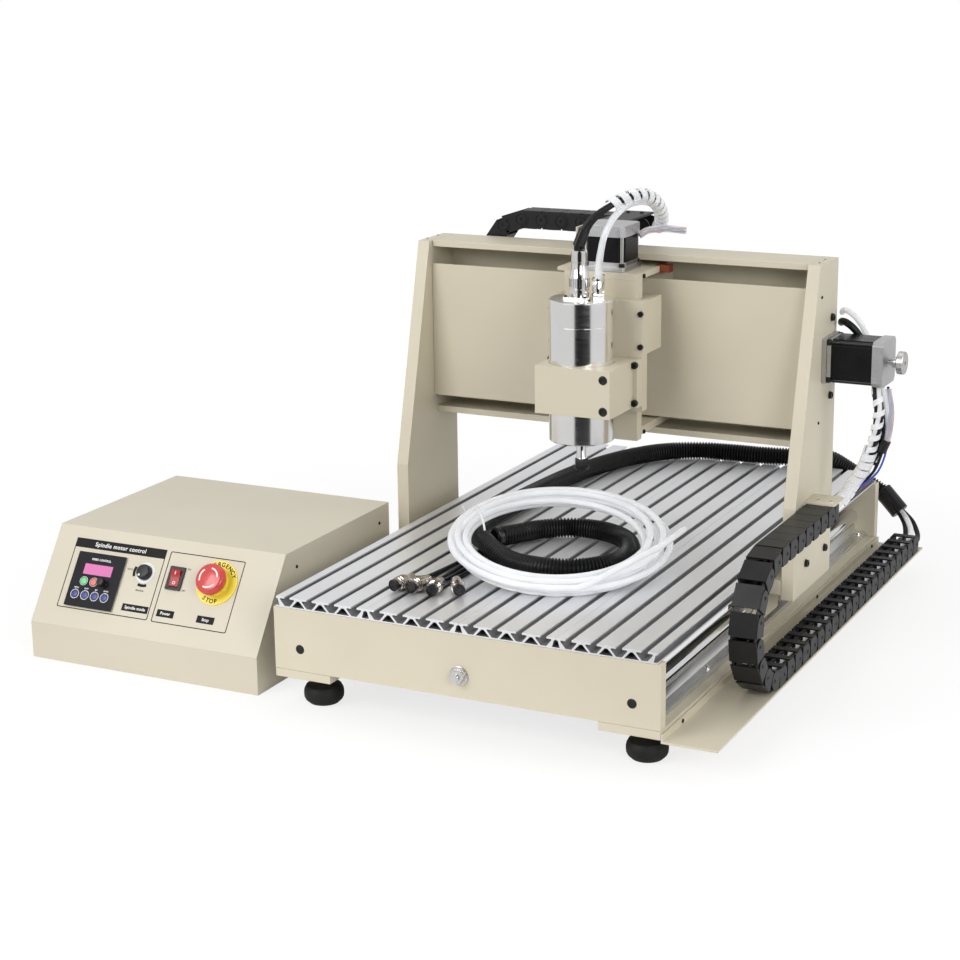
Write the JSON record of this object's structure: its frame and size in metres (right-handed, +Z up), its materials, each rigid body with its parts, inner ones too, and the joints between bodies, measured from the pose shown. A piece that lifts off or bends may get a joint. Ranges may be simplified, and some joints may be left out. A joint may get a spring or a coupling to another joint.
{
  "type": "cnc router",
  "caption": "Desktop moving-gantry CNC router with a slotted aluminium table, water-cooled spindle, energy chains and a free-standing control box on a conduit",
  "frame": {"origin": "On the floor, under the centre of the bounding box of the machine and its control box", "axes": "+X to the right along the gantry beam, seen from the front; +Y from the front end of the table to the rear, the way the gantry travels; +Z up"},
  "size_m": [0.994, 0.929, 0.5937],
  "materials": {
    "frame_paint": "semi-matt beige powder coat",
    "case_paint": "fine-textured beige powder coat on sheet steel",
    "table_aluminium": "satin anodised extrusion",
    "rail_aluminium": "clear anodised extrusion",
    "shaft_chrome": "ground and chromed linear shaft",
    "screw_steel": "rolled steel screw and turned fittings",
    "spindle_steel": "polished stainless steel",
    "motor_black": "satin black stepper motor",
    "chain_black": "black nylon with a soft shine",
    "chain_grey": "charcoal nylon",
    "wrap_white": "translucent white spiral wrap over cables",
    "conduit_black": "corrugated black nylon",
    "lead_black": "black cable sheath",
    "connector_nickel": "nickel-plated brass",
    "tube_clear": "clear soft plastic tube",
    "foot_rubber": "black rubber",
    "switch_red": "glossy red",
    "knob_black": "black with a soft shine",
    "key_green": "green membrane key",
    "key_red": "red membrane key",
    "key_blue": "dark blue membrane key"
  },
  "bodies": {
    "base": {"front_plate": "frame_paint", "rear_plate": "frame_paint", "table_profile_1": "table_aluminium", "table_profile_2": "table_aluminium", "table_profile_3": "table_aluminium", "table_profile_4": "table_aluminium", "y_rail_left": "rail_aluminium", "y_rail_right": "rail_aluminium", "y_shaft_left": "shaft_chrome", "y_shaft_right": "shaft_chrome", "foot_front_left": "foot_rubber", "foot_front_right": "foot_rubber", "foot_rear_left": "foot_rubber", "foot_rear_right": "foot_rubber", "chain_tray": "frame_paint", "y_motor": "motor_black", "y_chain_fixed": "chain_black", "control_case": "case_paint", "conduit": "conduit_black", "lead_bundle": "lead_black", "connector_1": "connector_nickel", "connector_2": "connector_nickel", "connector_3": "connector_nickel", "connector_4": "connector_nickel", "tube_coil": "tube_clear"},
    "y_screw": {"y_screw": "screw_steel"},
    "gantry": {"gantry_left_plate": "frame_paint", "gantry_right_plate": "frame_paint", "gantry_base": "frame_paint", "beam_top_plate": "frame_paint", "beam_channel": "frame_paint", "beam_cover": "frame_paint", "x_shaft_lower": "shaft_chrome", "x_shaft_upper": "shaft_chrome", "x_motor": "motor_black", "y_chain_moving": "chain_black", "x_chain_fixed": "chain_grey", "gantry_bundle": "wrap_white"},
    "x_screw": {"x_screw": "screw_steel"},
    "y_chain_bend": {"y_chain_bend": "chain_black"},
    "x_chain_bend": {"x_chain_bend": "chain_grey"},
    "carriage": {"carriage_frame": "frame_paint", "z_motor": "motor_black", "x_chain_moving": "chain_grey"},
    "z_screw": {"z_screw": "screw_steel"},
    "spindle_slide": {"z_slide_plate": "frame_paint", "spindle_clamp": "frame_paint", "spindle_body": "spindle_steel", "spindle_bundle": "wrap_white"},
    "rotor": {"spindle_rotor": "screw_steel"},
    "estop_button": {"estop_button": "switch_red"},
    "rocker_switch": {"rocker_switch": "switch_red"},
    "mode_knob": {"mode_knob": "knob_black"},
    "speed_knob": {"speed_knob": "knob_black"},
    "key_start": {"key_start": "key_green"},
    "key_stop": {"key_stop": "key_red"},
    "key_1": {"key_1": "key_blue"},
    "key_2": {"key_2": "key_blue"},
    "key_3": {"key_3": "key_blue"},
    "key_4": {"key_4": "key_blue"}
  },
  "joints": [
    {"name": "y_slide", "type": "slide", "parent": "base", "child": "gantry", "axis": [0, 1, 0], "range_m": [-0.27, 0.27]},
    {"name": "y_screw_spin", "type": "hinge", "parent": "base", "child": "y_screw", "pos_m": [0.126, -0.0535, 0.078], "axis": [0, 1, 0], "continuous": true},
    {"name": "y_chain_travel", "type": "slide", "parent": "base", "child": "y_chain_bend", "axis": [0, 1, 0], "range_m": [-0.135, 0.135], "deforming": ["y_chain_fixed", "y_chain_moving"]},
    {"name": "x_slide", "type": "slide", "parent": "gantry", "child": "carriage", "axis": [1, 0, 0], "range_m": [-0.198, 0.178]},
    {"name": "x_screw_spin", "type": "hinge", "parent": "gantry", "child": "x_screw", "pos_m": [0.138, 0.0185, 0.376], "axis": [1, 0, 0], "continuous": true},
    {"name": "x_chain_travel", "type": "slide", "parent": "gantry", "child": "x_chain_bend", "axis": [1, 0, 0], "range_m": [-0.099, 0.089], "deforming": ["x_chain_fixed", "x_chain_moving"]},
    {"name": "z_slide", "type": "slide", "parent": "carriage", "child": "spindle_slide", "axis": [0, 0, 1], "range_m": [-0.04, 0.02], "deforming": ["spindle_bundle"]},
    {"name": "z_screw_spin", "type": "hinge", "parent": "carriage", "child": "z_screw", "pos_m": [0.138, -0.0475, 0.38], "axis": [0, 0, 1], "continuous": true},
    {"name": "spindle_spin", "type": "hinge", "parent": "spindle_slide", "child": "rotor", "pos_m": [0.138, -0.1395, 0.27], "axis": [0, 0, 1], "continuous": true},
    {"name": "estop_press", "type": "slide", "parent": "base", "child": "estop_button", "axis": [0, 0.8238, -0.5669], "range_m": [0, 0.005]},
    {"name": "rocker_tilt", "type": "hinge", "parent": "base", "child": "rocker_switch", "pos_m": [-0.304, -0.38352, 0.11555], "axis": [1, 0, 0], "range_deg": [-10, 0]},
    {"name": "mode_turn", "type": "hinge", "parent": "base", "child": "mode_knob", "pos_m": [-0.35, -0.38272, 0.11671], "axis": [0, -0.8238, 0.5669], "range_deg": [-45, 45]},
    {"name": "speed_turn", "type": "hinge", "parent": "base", "child": "speed_knob", "pos_m": [-0.4047, -0.39542, 0.09825], "axis": [0, -0.8238, 0.5669], "range_deg": [-140, 140]},
    {"name": "key_start_press", "type": "slide", "parent": "base", "child": "key_start", "axis": [0, 0.8238, -0.5669], "range_m": [0, 0.001], "stiffness_N_per_m": 800, "springref_m": -0.0004},
    {"name": "key_stop_press", "type": "slide", "parent": "base", "child": "key_stop", "axis": [0, 0.8238, -0.5669], "range_m": [0, 0.001], "stiffness_N_per_m": 800, "springref_m": -0.0004},
    {"name": "key_1_press", "type": "slide", "parent": "base", "child": "key_1", "axis": [0, 0.8238, -0.5669], "range_m": [0, 0.001], "stiffness_N_per_m": 800, "springref_m": -0.0004},
    {"name": "key_2_press", "type": "slide", "parent": "base", "child": "key_2", "axis": [0, 0.8238, -0.5669], "range_m": [0, 0.001], "stiffness_N_per_m": 800, "springref_m": -0.0004},
    {"name": "key_3_press", "type": "slide", "parent": "base", "child": "key_3", "axis": [0, 0.8238, -0.5669], "range_m": [0, 0.001], "stiffness_N_per_m": 800, "springref_m": -0.0004},
    {"name": "key_4_press", "type": "slide", "parent": "base", "child": "key_4", "axis": [0, 0.8238, -0.5669], "range_m": [0, 0.001], "stiffness_N_per_m": 800, "springref_m": -0.0004}
  ],
  "couplings": [
    {"joint": "y_screw_spin", "follows": "y_slide", "rad_per_m": 1256.6},
    {"joint": "y_chain_travel", "follows": "y_slide", "ratio": 0.5},
    {"joint": "x_screw_spin", "follows": "x_slide", "rad_per_m": 1256.6},
    {"joint": "x_chain_travel", "follows": "x_slide", "ratio": 0.5},
    {"joint": "z_screw_spin", "follows": "z_slide", "rad_per_m": 1256.6}
  ]
}
